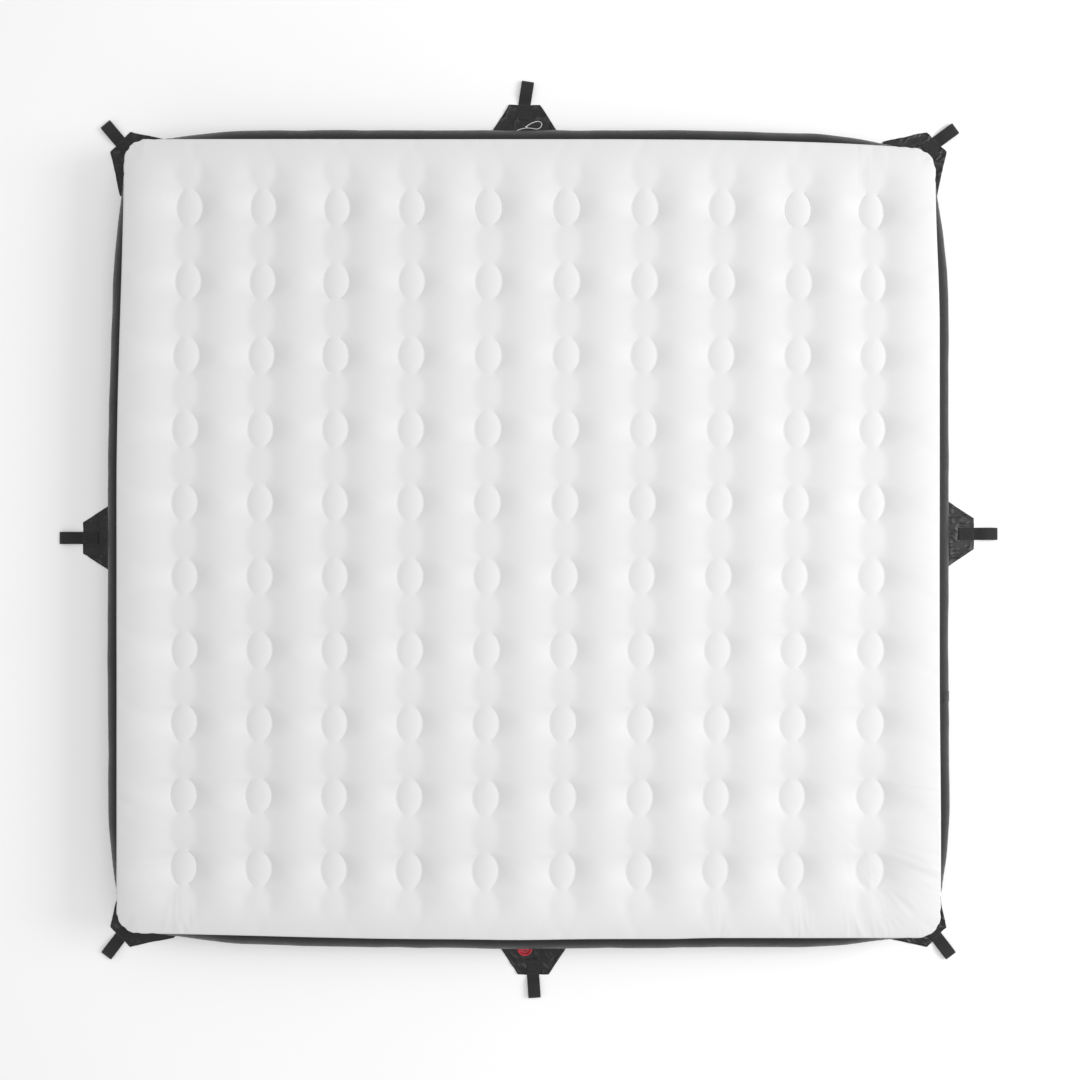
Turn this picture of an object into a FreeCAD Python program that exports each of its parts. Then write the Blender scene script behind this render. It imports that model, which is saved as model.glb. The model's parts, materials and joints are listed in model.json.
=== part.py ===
import FreeCAD, Part
import math
import os

# Inflatable sleeping pad for two or three people, inflated and standing on the floor.
# Millimetres. Origin: on the floor under the middle of the pad. +X right, +Y to the back, +Z up.
# The valve is in the front wall, and the side walls are on the left and right.

V = FreeCAD.Vector
UP = V(0, 0, 1)

# ---------- driving dimensions ----------

# air chamber
seam_length = 1930.0  # between the left and right seams, along X
seam_width = 1878.0  # between the front and back seams, along Y
corner_radius = 55.0  # of the seams, in plan
pad_height = 150.0
skin = 1.5  # laminated fabric with its weld allowance
bottom_seam_height = 8.0
top_seam_height = 120.0
shoulder_radius = 20.0  # where the top sheet turns down to its seam

# side wall
bulge = 40.0  # how far the wall stands out past the seams at half height
corner_bulge = 12.0  # the same at the corners, where the wall is gathered
bulge_run = 240.0  # length over which the wall swells, from the end of a corner
bulge_steps = 5
wall_seat = 2.5 * skin  # width of the wall's edge on the seams
lap_width = 24.0
lap_thickness = 1.0
lap_inset = 7.0  # from each seam
lap_place = -373.0  # along Y, on the right wall

# seam tapes, inside
tape_width = 9.0
tape_thickness = 1.2

# inner beams
beam_rows = 10
beam_columns = 10
row_margin = 162.3  # from the front and back seams to the middle of the nearest row
column_margin = 160.85  # from the left and right seams to the middle of the nearest column
beam_breadth = 62.0  # across the pair of strips, along X
beam_length = 80.0  # along Y
beam_sag = 18.0  # how far each strip bows out
strip_thickness = 0.8

# tabs
tab_reach = 126.0  # from the seam to the tab's tip, on the sides
corner_tab_reach = 72.0
tip_width = 76.0
corner_tip_width = 68.0
tab_flare = 33.0  # degrees, each side
tab_thickness = 1.5
fold_gap = 0.3  # each side of a fold line
fold_clearance = 4.0  # from the widest part of the wall to the fold line

# webbing
webbing_width = 30.0
webbing_thickness = 1.5
tail_length = 38.0
loop_reach = 58.0  # past the tab's tip
loop_gap = 7.0  # inside the loop
loop_start = 3.8  # past the tab's tip
loop_axis_out = 2.5
loop_rise_end = 24.0
loop_throat = 6.0

# stitching
thread = 0.7
thread_rise = 0.4
stitch_box_length = 26.0
stitch_margin = 4.0  # to each side of the webbing

# valve
valve_place = -9.0  # along X
neck_radius = 14.0
neck_inside = 8.0  # reach into the chamber
neck_outside = 10.0
socket_radius = 9.5  # takes the pump's nozzle
throat_radius = 8.5
grille_bar = 1.6
grille_depth = 1.2
flange_width = 14.0
weld_clearance = 0.2
keeper_width = 3.0
keeper_base = 1.7
keeper_depth = 1.1
cap_clearance = 1.2  # round the neck
cap_wall = 3.0
cap_base = 3.0  # height of the cap's rim over the wall when it is closed
cap_depth = 9.0
cap_face = 1.5
cap_rest_gap = 1.067  # between the open cap and the front tab
plug_clearance = 1.0  # in the neck's socket
plug_depth = 2.5
hinge_reach = 13.8  # from the cap's side to the hinge's axis
knuckle_radius = 2.2
pin_radius = 1.0
pin_clearance = 0.05
lug_half_width = 4.0
ear_gap = 0.4
ear_width = 3.0
flap_lap = 2.5  # of the flap past the throat
flap_thickness = 1.1
flap_gap = 0.1
flap_ear_reach = 1.0  # from the flap's edge to its axis
flap_ear_width = 6.0
flap_ear_root = 7.0  # from the flap's edge inwards
cut_reach = 20.0  # of a tool that cuts through the wall, each side of it

# cord on the back tab
cord_diameter = 2.0
cord_lift = 0.1  # over the tab
cord_route = [
    (-42, 993),
    (-30, 1001),
    (-17, 1006),
    (-4, 1008),
    (9, 1007),
    (21, 1004),
    (31, 1010),
    (33, 1020),
    (24, 1025),
    (13, 1022),
    (3, 1017.5),
    (-5, 1011.8),
]
knot_radius = 3.2
tack_length = 12.0
tack_width = 8.0
tack_thickness = 1.0

# ---------- worked out from them ----------

half_length = seam_length / 2
half_width = seam_width / 2
mid_height = (bottom_seam_height + top_seam_height) / 2
half_chord = (top_seam_height - bottom_seam_height) / 2
wall_radius = (half_chord**2 + bulge**2) / (2 * bulge)
wall_centre_in = wall_radius - bulge  # from the seam inwards to the centre of the wall's arc
row_pitch = (seam_width - 2 * row_margin) / (beam_rows - 1)
column_pitch = (seam_length - 2 * column_margin) / (beam_columns - 1)
fold_out = bulge + fold_clearance

flange_radius = neck_radius + flange_width
keeper_radius = neck_radius + keeper_width
cap_bore = neck_radius + cap_clearance
cap_radius = cap_bore + cap_wall
plug_radius = socket_radius - plug_clearance
hinge_offset = cap_radius + hinge_reach  # from the valve's axis to the hinge's axis
flap_radius = throat_radius + flap_lap
flap_axis_offset = flap_radius + flap_ear_reach

# The valve points down so far that its open cap lies flat over the front tab.
hinge_height = tab_thickness + cap_rest_gap + cap_depth
hinge_from_centre = math.hypot(wall_radius + cap_base, hinge_offset)
droop = math.asin((mid_height - hinge_height) / hinge_from_centre) - math.atan2(
    hinge_offset, wall_radius + cap_base
)
valve_droop = math.degrees(droop)
cap_open_angle = 90.0 - valve_droop
valve_face = V(
    valve_place,
    -(half_width - wall_centre_in + wall_radius * math.cos(droop)),
    mid_height - wall_radius * math.sin(droop),
)
hinge_from_seam = (
    -wall_centre_in
    + (wall_radius + cap_base) * math.cos(droop)
    - hinge_offset * math.sin(droop)
)
front_fold_out = hinge_from_seam + hinge_offset + cap_radius + 2 * fold_clearance
corner_fold_out = corner_bulge + fold_clearance

# Each tab: name, place along its side, heading of the tab, lean of its webbing (both in degrees,
# anticlockwise from above), and the distance from the seam to its fold line.
SIDE_TABS = [
    ("left", 4.0, 180.0, 0.0, fold_out),
    ("right", 14.0, 0.0, 0.0, fold_out),
    ("back", -10.0, 90.0, -9.0, fold_out),
    ("front", 11.0, -90.0, 4.0, front_fold_out),
]
CORNER_TABS = [
    ("back_left", 135.0, -5.0),
    ("back_right", 45.0, -9.0),
    ("front_left", -135.0, 8.0),
    ("front_right", -45.0, -8.0),
]


def export(shape, name):
    """Write one node and say whether its solids are sound."""
    shape.exportStep("parts/%s.step" % name)
    state = "ok" if shape.isValid() and shape.Solids else "BROKEN"
    print("%-26s %3d solids  %12.1f mm3  %s" % (name, len(shape.Solids), shape.Volume, state))


def heading_vector(degrees):
    return V(math.cos(math.radians(degrees)), math.sin(math.radians(degrees)), 0)


def prism(points, low, high):
    """A flat plate with the given outline, from one height to another."""
    corners = [V(x, y, low) for x, y in points]
    return Part.Face(Part.makePolygon(corners + corners[:1])).extrude(V(0, 0, high - low))


def rounded_block(inset, low, high, top_round=0.0):
    """The pad's outline, moved in by inset, between two heights, with a rounded upper edge if asked."""
    length = seam_length - 2 * inset
    width = seam_width - 2 * inset
    block = Part.makeBox(length, width, high - low, V(-length / 2, -width / 2, low))
    upright = [e for e in block.Edges if abs(e.tangentAt(e.FirstParameter).z) > 0.5]
    block = block.makeFillet(corner_radius - inset, upright)
    if top_round:
        rim = [e for e in block.Edges if min(v.Z for v in e.Vertexes) > high - 0.001]
        block = block.makeFillet(top_round, rim)
    return block


# ---------- air chamber ----------


def top_sheet():
    outside = rounded_block(0, top_seam_height, pad_height, shoulder_radius)
    inside = rounded_block(skin, top_seam_height, pad_height - skin, shoulder_radius - skin)
    return outside.cut(inside)


def bottom_sheet():
    outside = rounded_block(0, 0, bottom_seam_height)
    return outside.cut(rounded_block(skin, skin, bottom_seam_height))


def seam_tape(low, high):
    return rounded_block(skin, low, high).cut(rounded_block(skin + tape_thickness, low, high))


def wall_outline(origin, outward, swell):
    """The wall's section in the plane through origin: an outer and an inner arc from seam to seam."""

    def at(out, height):
        return origin + outward * out + UP * height

    low, mid, high = bottom_seam_height, mid_height, top_seam_height
    outer = Part.Arc(at(0, low), at(swell, mid), at(0, high)).toShape()
    inner = Part.Arc(
        at(-wall_seat, high), at(swell - skin, mid), at(-wall_seat, low)
    ).toShape()
    upper = Part.LineSegment(at(0, high), at(-wall_seat, high)).toShape()
    lower = Part.LineSegment(at(-wall_seat, low), at(0, low)).toShape()
    return Part.Wire([outer, upper, inner, lower])


def swell_at(distance):
    """How far the wall stands out at a distance along it from the end of a corner."""
    share = min(distance / bulge_run, 1.0)
    return corner_bulge + (bulge - corner_bulge) * math.sin(share * math.pi / 2)


def wall_side(heading, seam_distance, straight):
    outward = heading_vector(heading)
    along = heading_vector(heading + 90)
    steps = [bulge_run * k / bulge_steps for k in range(bulge_steps + 1)]
    places = [(d - straight / 2, swell_at(d)) for d in steps]
    places += [(-place, swell) for place, swell in reversed(places)]
    wires = [
        wall_outline(outward * seam_distance + along * place, outward, swell)
        for place, swell in places
    ]
    return Part.makeLoft(wires, True, True)


def wall_corner(sign_x, sign_y):
    centre = V(sign_x * (half_length - corner_radius), sign_y * (half_width - corner_radius), 0)
    heading = math.degrees(math.atan2(sign_y, sign_x)) - 45
    outward = heading_vector(heading)
    wire = wall_outline(centre + outward * corner_radius, outward, corner_bulge)
    return Part.Face(wire).revolve(centre, UP, 90)


def side_wall():
    pieces = []
    for heading in (0, 180):
        pieces.append(wall_side(heading, half_length, seam_width - 2 * corner_radius))
    for heading in (90, -90):
        pieces.append(wall_side(heading, half_width, seam_length - 2 * corner_radius))
    for sign_x in (-1, 1):
        for sign_y in (-1, 1):
            pieces.append(wall_corner(sign_x, sign_y))
    ring = pieces[0].multiFuse(pieces[1:])
    return ring.cut(in_valve(disc(neck_radius + weld_clearance, -cut_reach, cut_reach)))


def wall_lap_strip():
    """The strip over the joint of the wall's band, bent to the wall."""
    centre = V(half_length - wall_centre_in, lap_place - lap_width / 2, mid_height)
    axis = V(0, 1, 0)
    outer = Part.makeCylinder(wall_radius + lap_thickness, lap_width, centre, axis)
    inner = Part.makeCylinder(wall_radius, lap_width, centre, axis)
    height = top_seam_height - bottom_seam_height - 2 * lap_inset
    window = Part.makeBox(
        2 * bulge,
        lap_width,
        height,
        V(half_length, centre.y, bottom_seam_height + lap_inset),
    )
    return outer.cut(inner).common(window)


def beam_strip(x, y, side):
    """One bowed upright strip of a pair; side is -1 for the left one and 1 for the right one."""
    half = beam_length / 2
    radius = (half**2 + beam_sag**2) / (2 * beam_sag)
    centre_x = x + side * (beam_breadth / 2 - radius)
    spread = math.asin(half / radius)

    def at(r, angle):
        return V(centre_x + side * r * math.cos(angle), y + r * math.sin(angle), skin)

    inner_radius = radius - strip_thickness
    outer = Part.Arc(at(radius, -spread), at(radius, 0), at(radius, spread)).toShape()
    inner = Part.Arc(
        at(inner_radius, spread), at(inner_radius, 0), at(inner_radius, -spread)
    ).toShape()
    end = Part.LineSegment(at(radius, spread), at(inner_radius, spread)).toShape()
    start = Part.LineSegment(at(inner_radius, -spread), at(radius, -spread)).toShape()
    face = Part.Face(Part.Wire([outer, end, inner, start]))
    return face.extrude(V(0, 0, pad_height - 2 * skin))


def beam_row(row):
    y = (row - (beam_rows - 1) / 2) * row_pitch
    strips = []
    for column in range(beam_columns):
        x = (column - (beam_columns - 1) / 2) * column_pitch
        strips += [beam_strip(x, y, -1), beam_strip(x, y, 1)]
    return Part.makeCompound(strips)


# ---------- tabs and loops ----------


def all_tabs():
    """Every tab as a dict of its sizes and its frame: origin on the seam, outward along its heading."""
    tabs = []
    for name, place, heading, lean, fold in SIDE_TABS:
        outward = heading_vector(heading)
        sideways = V(abs(outward.y), abs(outward.x), 0)
        seam_distance = half_length if abs(outward.x) > 0.5 else half_width
        tabs.append(
            dict(
                name=name,
                origin=outward * seam_distance + sideways * place,
                heading=heading,
                lean=lean,
                fold=fold,
                reach=tab_reach,
                tip=tip_width,
            )
        )
    for name, heading, lean in CORNER_TABS:
        outward = heading_vector(heading)
        centre = V(
            math.copysign(half_length - corner_radius, outward.x),
            math.copysign(half_width - corner_radius, outward.y),
            0,
        )
        tabs.append(
            dict(
                name=name,
                origin=centre + outward * corner_radius,
                heading=heading,
                lean=lean,
                fold=corner_fold_out,
                reach=corner_tab_reach,
                tip=corner_tip_width,
            )
        )
    return tabs


def in_tab(shape, tab):
    """Move a shape from a tab's own frame, with x outwards from the seam, to its place."""
    shape.rotate(V(0, 0, 0), UP, tab["heading"])
    shape.translate(tab["origin"])
    return shape


def in_webbing(shape, tab):
    """Move a shape from the webbing's own frame, with x outwards from the tab's tip, to its place."""
    shape.rotate(V(0, 0, 0), UP, tab["lean"])
    shape.translate(V(tab["reach"], 0, 0))
    return in_tab(shape, tab)


def fold_line(tab):
    """The middle of the tab's fold line and the direction to turn about, which lifts the tab."""
    outward = heading_vector(tab["heading"])
    return tab["origin"] + outward * tab["fold"] + UP * tab_thickness, outward.cross(UP)


def loop_line(tab):
    """The same for the loop's fold at the tab's tip."""
    outward = heading_vector(tab["heading"])
    along = heading_vector(tab["heading"] + tab["lean"])
    base = tab["origin"] + outward * tab["reach"]
    height = tab_thickness + webbing_thickness
    return base + along * loop_axis_out + UP * height, along.cross(UP)


def tab_half_width(tab, out):
    return tab["tip"] / 2 + math.tan(math.radians(tab_flare)) * (tab["reach"] - out)


def tab_plate(tab, start, end):
    wide, narrow = tab_half_width(tab, start), tab_half_width(tab, end)
    outline = [(start, -wide), (end, -narrow), (end, narrow), (start, wide)]
    return in_tab(prism(outline, 0, tab_thickness), tab)


def tab_hem(tab):
    footprint = rounded_block(0, -skin, 2 * skin)
    return tab_plate(tab, -corner_radius, tab["fold"] - fold_gap).cut(footprint)


def webbing_tail(tab):
    half = webbing_width / 2
    outline = [(-tail_length, -half), (0, -half), (0, half), (-tail_length, half)]
    top = tab_thickness + webbing_thickness
    return in_webbing(prism(outline, tab_thickness, top), tab)


def webbing_loop(tab):
    """A band folded back on itself: flat below, risen above, with a round outer end."""
    half = webbing_width / 2
    height = 2 * webbing_thickness + loop_gap
    round_outer = height / 2
    bend = loop_reach - round_outer
    root = tab_thickness + webbing_thickness

    def at(out, up):
        return V(out, -half, up)

    def line(a, b):
        return Part.LineSegment(a, b).toShape()

    a, b = at(loop_start, 0), at(bend, 0)
    c, d, e = at(bend, height), at(loop_rise_end, height), at(loop_start, root)
    outer = Part.Wire(
        [
            line(a, b),
            Part.Arc(b, at(loop_reach, height / 2), c).toShape(),
            line(c, d),
            line(d, e),
            line(e, a),
        ]
    )
    slope = (height - root) / (loop_rise_end - loop_start)
    drop = webbing_thickness * math.hypot(1, slope)
    throat_height = root + slope * (loop_throat - loop_start) - drop
    low, high = webbing_thickness, height - webbing_thickness
    turn = loop_start + (high - root + drop) / slope
    a, b = at(loop_throat, low), at(bend, low)
    c, d, e = at(bend, high), at(turn, high), at(loop_throat, throat_height)
    inner = Part.Wire(
        [
            line(a, b),
            Part.Arc(b, at(loop_reach - webbing_thickness, height / 2), c).toShape(),
            line(c, d),
            line(d, e),
            line(e, a),
        ]
    )
    across = V(0, webbing_width, 0)
    band = Part.Face(outer).extrude(across).cut(Part.Face(inner).extrude(across))
    return in_webbing(band, tab)


def stitching(tab):
    """A box of thread with a cross in it, standing a little proud of the webbing."""
    low = tab_thickness + webbing_thickness
    long, wide, half = stitch_box_length, webbing_width / 2 - stitch_margin, thread / 2
    end = (loop_start - tail_length - long) / 2
    frame = prism(
        [(end, -wide), (end + long, -wide), (end + long, wide), (end, wide)],
        low,
        low + thread_rise,
    )
    hollow = prism(
        [
            (end + thread, -wide + thread),
            (end + long - thread, -wide + thread),
            (end + long - thread, wide - thread),
            (end + thread, wide - thread),
        ],
        low,
        low + thread_rise,
    )
    box = frame.cut(hollow)
    centre = end + long / 2
    length = math.hypot(long, 2 * wide) - 2 * thread
    for sign in (-1, 1):
        bar = Part.makeBox(length, thread, thread_rise, V(-length / 2, -half, 0))
        bar.rotate(V(0, 0, 0), UP, sign * math.degrees(math.atan2(2 * wide, long)))
        bar.translate(V(centre, 0, low))
        box = box.fuse(bar)
    return in_webbing(box, tab)


# ---------- valve ----------
# Its own frame: z along the valve's axis and out of the pad, y up along the wall, origin on the wall.


def in_valve(shape):
    shape.rotate(V(0, 0, 0), V(1, 0, 0), 90 + valve_droop)
    shape.translate(valve_face)
    return shape


def valve_point(up, out):
    """A point in the valve's middle plane, in the pad's frame."""
    return Part.Vertex(in_valve(Part.Vertex(V(0, up, out))).Point).Point


def disc(radius, low, high, x=0.0, y=0.0):
    return Part.makeCylinder(radius, high - low, V(x, y, low))


def cross_rod(radius, x0, x1, y, z):
    return Part.makeCylinder(radius, x1 - x0, V(x0, y, z), V(1, 0, 0))


def valve_flange():
    """A ring bent to the wall and welded on it."""
    centre = V(-flange_radius - 1, 0, -wall_radius)
    length = 2 * flange_radius + 2
    outer = Part.makeCylinder(wall_radius + skin, length, centre, V(1, 0, 0))
    inner = Part.makeCylinder(wall_radius, length, centre, V(1, 0, 0))
    ring = disc(flange_radius, -cut_reach, cut_reach)
    ring = ring.cut(disc(neck_radius + weld_clearance, -cut_reach, cut_reach))
    return in_valve(outer.cut(inner).common(ring))


def valve_neck():
    tube = disc(neck_radius, -neck_inside, neck_outside)
    tube = tube.cut(disc(socket_radius, 0, neck_outside))
    tube = tube.cut(disc(throat_radius, -neck_inside, 0))
    for angle in (0, 60, 120):
        bar = Part.makeBox(
            2 * throat_radius + 1,
            grille_bar,
            grille_depth,
            V(-throat_radius - 0.5, -grille_bar / 2, -neck_inside),
        )
        bar.rotate(V(0, 0, 0), UP, angle)
        tube = tube.fuse(bar)
    return in_valve(tube)


def valve_keeper():
    """The ring round the neck that holds the cap's hinge."""
    top = keeper_base + keeper_depth
    ring = disc(keeper_radius, keeper_base, top)
    arm = Part.makeBox(
        2 * lug_half_width,
        hinge_offset - neck_radius,
        keeper_depth,
        V(-lug_half_width, -hinge_offset, keeper_base),
    )
    barrel = cross_rod(
        knuckle_radius, -lug_half_width, lug_half_width, -hinge_offset, cap_base
    )
    keeper = ring.fuse(arm).fuse(barrel)
    keeper = keeper.cut(disc(neck_radius + weld_clearance, keeper_base - 1, top + 1))
    room = cross_rod(
        pin_radius + pin_clearance, -lug_half_width, lug_half_width, -hinge_offset, cap_base
    )
    return in_valve(keeper.cut(room))


def opened(shape):
    """Swing a piece of the cap from closed to open, about the hinge."""
    shape.rotate(V(0, -hinge_offset, cap_base), V(1, 0, 0), cap_open_angle)
    return in_valve(shape)


def valve_cap():
    top = cap_base + cap_depth
    cup = disc(cap_radius, cap_base, top).cut(disc(cap_bore, cap_base, top - cap_face))
    inside = lug_half_width + ear_gap
    for side in (-1, 1):
        low = min(side * inside, side * (inside + ear_width))
        knuckle = cross_rod(knuckle_radius, low, low + ear_width, -hinge_offset, cap_base)
        arm = Part.makeBox(
            ear_width,
            hinge_offset - cap_bore,
            knuckle_radius,
            V(low, -hinge_offset, cap_base),
        )
        room = disc(cap_bore, cap_base - 1, cap_base + knuckle_radius)
        cup = cup.fuse(knuckle).fuse(arm.cut(room))
    reach = inside + ear_width
    cup = cup.fuse(cross_rod(pin_radius, -reach, reach, -hinge_offset, cap_base))
    return opened(cup)


def cap_plug():
    floor = cap_base + cap_depth - cap_face
    return opened(disc(plug_radius, floor - plug_depth, floor))


def check_flap():
    top = -neck_inside - flap_gap
    root = flap_radius - flap_ear_root
    ear = Part.makeBox(
        flap_ear_width,
        flap_axis_offset - root,
        flap_thickness,
        V(-flap_ear_width / 2, root, top - flap_thickness),
    )
    return in_valve(disc(flap_radius, top - flap_thickness, top).fuse(ear))


# ---------- cord on the back tab ----------


def cord_height():
    return tab_thickness + cord_lift + cord_diameter / 2


def cord_tube():
    """Straight runs joined by tangent arcs, each as large as its two runs allow."""
    points = [V(x, y, cord_height()) for x, y in cord_route]
    edges = []
    here = points[0]
    for before, corner, after in zip(points, points[1:], points[2:]):
        back = (before - corner).normalize()
        on = (after - corner).normalize()
        turn = math.pi - back.getAngle(on)
        run = 0.45 * min((before - corner).Length, (after - corner).Length)
        radius = run / math.tan(turn / 2)
        print("cord turn %5.1f degrees, radius %6.1f mm" % (math.degrees(turn), radius))
        into, out = corner + back * run, corner + on * run
        inward = (back + on).normalize()
        middle = corner + inward * (radius / math.cos(turn / 2) - radius)
        edges.append(Part.LineSegment(here, into).toShape())
        edges.append(Part.Arc(into, middle, out).toShape())
        here = out
    edges.append(Part.LineSegment(here, points[-1]).toShape())
    path = Part.Wire(edges)
    start = (points[1] - points[0]).normalize()
    section = Part.Wire(Part.makeCircle(cord_diameter / 2, points[0], start))
    tube = path.makePipeShell([section], True, True)
    expected = path.Length * math.pi * cord_diameter**2 / 4
    print("cord length %.1f mm, volume over section x length %.4f" % (path.Length, tube.Volume / expected))
    return tube


def cord_knot():
    x = (cord_route[3][0] + cord_route[-1][0]) / 2 - 1
    y = (cord_route[3][1] + cord_route[-1][1]) / 2
    ball = Part.makeSphere(knot_radius, V(x, y, tab_thickness + cord_lift + knot_radius * 0.6))
    floor = tab_thickness + cord_lift
    trim = Part.makeBox(20, 20, 10, V(x - 10, y - 10, floor - 10))
    return ball.cut(trim)


def cord_tack():
    (x0, y0), (x1, y1) = cord_route[0], cord_route[1]
    low = tab_thickness + cord_lift + cord_diameter
    plate = Part.makeBox(
        tack_length, tack_width, low + tack_thickness - tab_thickness, V(-1, -tack_width / 2, 0)
    )
    groove = Part.makeBox(
        tack_length, cord_diameter + 0.2, low - tab_thickness, V(-1, -cord_diameter / 2 - 0.1, 0)
    )
    plate = plate.cut(groove)
    plate.rotate(V(0, 0, 0), UP, math.degrees(math.atan2(y1 - y0, x1 - x0)))
    plate.translate(V(x0, y0, tab_thickness))
    return plate


def build():
    export(top_sheet(), "top_sheet")
    export(bottom_sheet(), "bottom_sheet")
    export(side_wall(), "side_wall")
    export(wall_lap_strip(), "wall_lap_strip")
    export(seam_tape(top_seam_height, top_seam_height + tape_width), "top_seam_tape")
    export(seam_tape(skin, bottom_seam_height), "bottom_seam_tape")
    for row in range(beam_rows):
        export(beam_row(row), "beam_row_%02d" % (row + 1))
    tabs = all_tabs()
    export(Part.makeCompound([tab_hem(tab) for tab in tabs]), "tab_hems")
    for tab in tabs:
        name = tab["name"]
        export(tab_plate(tab, tab["fold"] + fold_gap, tab["reach"]), name + "_tab")
        export(webbing_tail(tab), name + "_webbing_tail")
        export(stitching(tab), name + "_stitching")
        export(webbing_loop(tab), name + "_loop")
    export(valve_flange(), "valve_flange")
    export(valve_neck(), "valve_neck")
    export(valve_keeper(), "valve_keeper")
    export(valve_cap(), "valve_cap")
    export(cap_plug(), "cap_plug")
    export(check_flap(), "check_flap")
    export(cord_tube(), "keeper_cord")
    export(cord_knot(), "cord_knot")
    export(cord_tack(), "cord_tack")


os.makedirs("parts", exist_ok=True)
build()
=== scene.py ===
import json
import math

import bpy
import numpy as np
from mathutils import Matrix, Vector

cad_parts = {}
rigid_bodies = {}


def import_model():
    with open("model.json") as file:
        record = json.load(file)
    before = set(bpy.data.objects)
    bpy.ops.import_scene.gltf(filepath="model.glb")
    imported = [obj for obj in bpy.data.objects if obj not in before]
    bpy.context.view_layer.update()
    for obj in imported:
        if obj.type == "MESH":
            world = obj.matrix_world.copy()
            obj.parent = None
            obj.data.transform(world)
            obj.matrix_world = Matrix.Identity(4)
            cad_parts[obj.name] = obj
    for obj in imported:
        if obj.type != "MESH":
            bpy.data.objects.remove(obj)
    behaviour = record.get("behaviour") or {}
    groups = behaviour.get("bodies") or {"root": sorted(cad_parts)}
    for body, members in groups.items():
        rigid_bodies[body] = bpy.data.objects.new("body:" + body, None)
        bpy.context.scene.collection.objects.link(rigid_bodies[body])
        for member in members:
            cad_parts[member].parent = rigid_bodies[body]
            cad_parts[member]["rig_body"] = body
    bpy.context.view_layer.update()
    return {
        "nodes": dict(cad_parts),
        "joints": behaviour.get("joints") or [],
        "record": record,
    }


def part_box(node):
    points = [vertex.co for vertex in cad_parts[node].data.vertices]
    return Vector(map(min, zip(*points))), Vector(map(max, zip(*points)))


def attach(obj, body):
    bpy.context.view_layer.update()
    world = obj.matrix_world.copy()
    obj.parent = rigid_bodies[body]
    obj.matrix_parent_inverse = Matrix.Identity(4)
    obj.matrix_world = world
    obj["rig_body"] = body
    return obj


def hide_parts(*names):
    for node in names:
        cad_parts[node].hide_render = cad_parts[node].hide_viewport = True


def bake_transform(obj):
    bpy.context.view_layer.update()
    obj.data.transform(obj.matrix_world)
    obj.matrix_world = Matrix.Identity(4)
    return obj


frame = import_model()

# ---------- sizes, read from the frame ----------

_, top_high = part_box("top_sheet")
wall_low, wall_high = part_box("side_wall")
HALF_X, HALF_Y = top_high[0], top_high[1]
TOP_Z, TOP_SEAM_Z = top_high[2], wall_high[2]
BASE_SEAM_Z = wall_low[2]
BULGE = wall_high[0] - HALF_X
CORNER = 0.055  # radius of the seams' corners
CORNER_BULGE = 0.011  # how far the wall swells past the seam at the corners
BULGE_RUN = 0.26  # distance from a corner over which the wall reaches its full swell

beam_low, beam_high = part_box("beam_row_01")
beam_last_low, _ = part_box("beam_row_10")
WELDS = 10  # rows, and pairs of welds in each row
BEAM_WIDE = 0.062  # between a pair's two films, at their middles
BEAM_LONG = beam_high[1] - beam_low[1]
BEAM_SAG = 0.018  # how far each film bows
PITCH_X = (beam_high[0] - beam_low[0] - BEAM_WIDE) / (WELDS - 1)
PITCH_Y = (beam_last_low[1] - beam_low[1]) / (WELDS - 1)
FIRST_X = beam_low[0] + BEAM_WIDE / 2
FIRST_Y = (beam_low[1] + beam_high[1]) / 2

JOINTS = {joint["name"]: joint for joint in frame["joints"]}
VALVE = sum(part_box("valve_flange"), Vector()) / 2
LAP = sum(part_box("wall_lap_strip"), Vector()) / 2
TAB_NAMES = ["left", "right", "back", "front", "back_left", "back_right", "front_left", "front_right"]


# ---------- helpers ----------

NOISE_CELLS = 64  # after which the noise repeats


def smooth(t):
    """0 below 0, 1 above 1, and a soft step between."""
    t = np.clip(t, 0.0, 1.0)
    return t * t * (3 - 2 * t)


def noise(x, y, size, seed):
    """Smooth noise from -1 to 1 with lumps of about that size, the same each time."""
    table = np.random.default_rng(seed).uniform(-1, 1, (NOISE_CELLS, NOISE_CELLS))
    gx, gy = np.asarray(x) / size + 31.7, np.asarray(y) / size + 17.3
    ix, iy = np.floor(gx).astype(int), np.floor(gy).astype(int)
    fx, fy = smooth(gx - ix), smooth(gy - iy)

    def at(a, b):
        return table[a % NOISE_CELLS, b % NOISE_CELLS]

    low = at(ix, iy) * (1 - fx) + at(ix + 1, iy) * fx
    high = at(ix, iy + 1) * (1 - fx) + at(ix + 1, iy + 1) * fx
    return low * (1 - fy) + high * fy


def creases(x, y, size, seed, sharp=3.0):
    """Thin raised lines, from 0 to 1, like those in a crumpled sheet."""
    return (1 - np.abs(noise(x, y, size, seed))) ** sharp


def add_object(name, data):
    obj = bpy.data.objects.new(name, data)
    bpy.context.scene.collection.objects.link(obj)
    return obj


def new_object(name, points, faces, uv=None):
    mesh = bpy.data.meshes.new(name)
    mesh.from_pydata([tuple(p) for p in points], [], [tuple(f) for f in faces])
    if uv is not None:
        layer = mesh.uv_layers.new(name="UVMap")
        index = np.zeros(len(mesh.loops), np.int32)
        mesh.loops.foreach_get("vertex_index", index)
        layer.data.foreach_set("uv", np.asarray(uv, np.float32)[index].ravel())
    mesh.polygons.foreach_set("use_smooth", [True] * len(mesh.polygons))
    mesh.update()
    return add_object(name, mesh)


def stacked(x, y, z):
    """Three grids of coordinates as one list of points."""
    return np.stack([x, y, z], axis=-1).reshape(-1, 3)


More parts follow.
